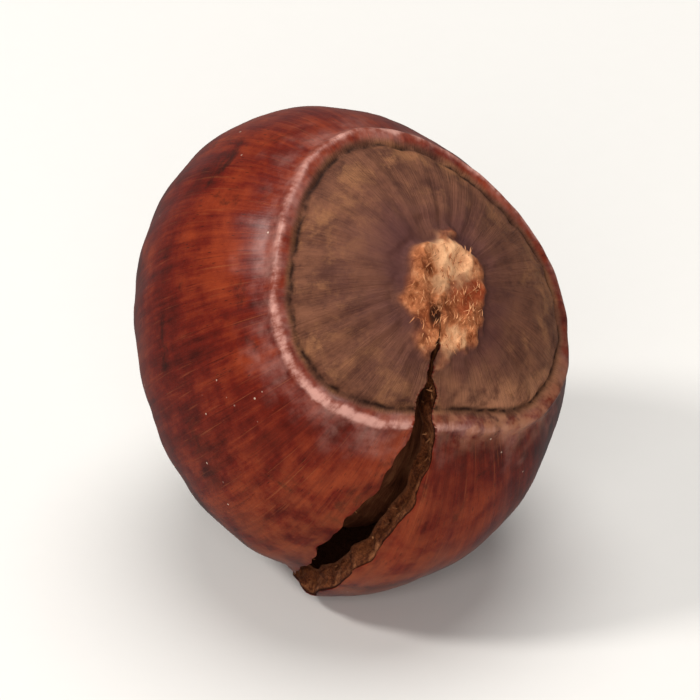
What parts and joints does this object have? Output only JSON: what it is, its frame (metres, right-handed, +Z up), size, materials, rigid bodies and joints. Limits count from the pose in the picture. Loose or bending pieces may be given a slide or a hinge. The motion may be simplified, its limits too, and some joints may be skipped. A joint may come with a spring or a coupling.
{
  "type": "hazelnut in shell",
  "caption": "Roasted hazelnut in its glossy brown shell, with a dull lipped scar at the base and a pointed tip, split down one side so that the loose wrinkled kernel shows inside.",
  "frame": {"origin": "on the surface that the nut rests on, under the middle of its box", "axes": "+Z up from the flat rest spot; -Y faces the side with the scar and the split; the nut's axis leaves the scar 41.8 degrees above level, 34.5 degrees from -Y towards +X"},
  "size_m": [0.0192, 0.0199, 0.0205],
  "materials": {
    "shell": "woody shell, reddish brown and softly glossy, with a dull grey-brown scar and tan broken edges",
    "kernel": "matt papery brown skin, wrinkled lengthwise"
  },
  "bodies": {
    "root": {"shell": "shell", "kernel": "kernel"}
  },
  "joints": []
}
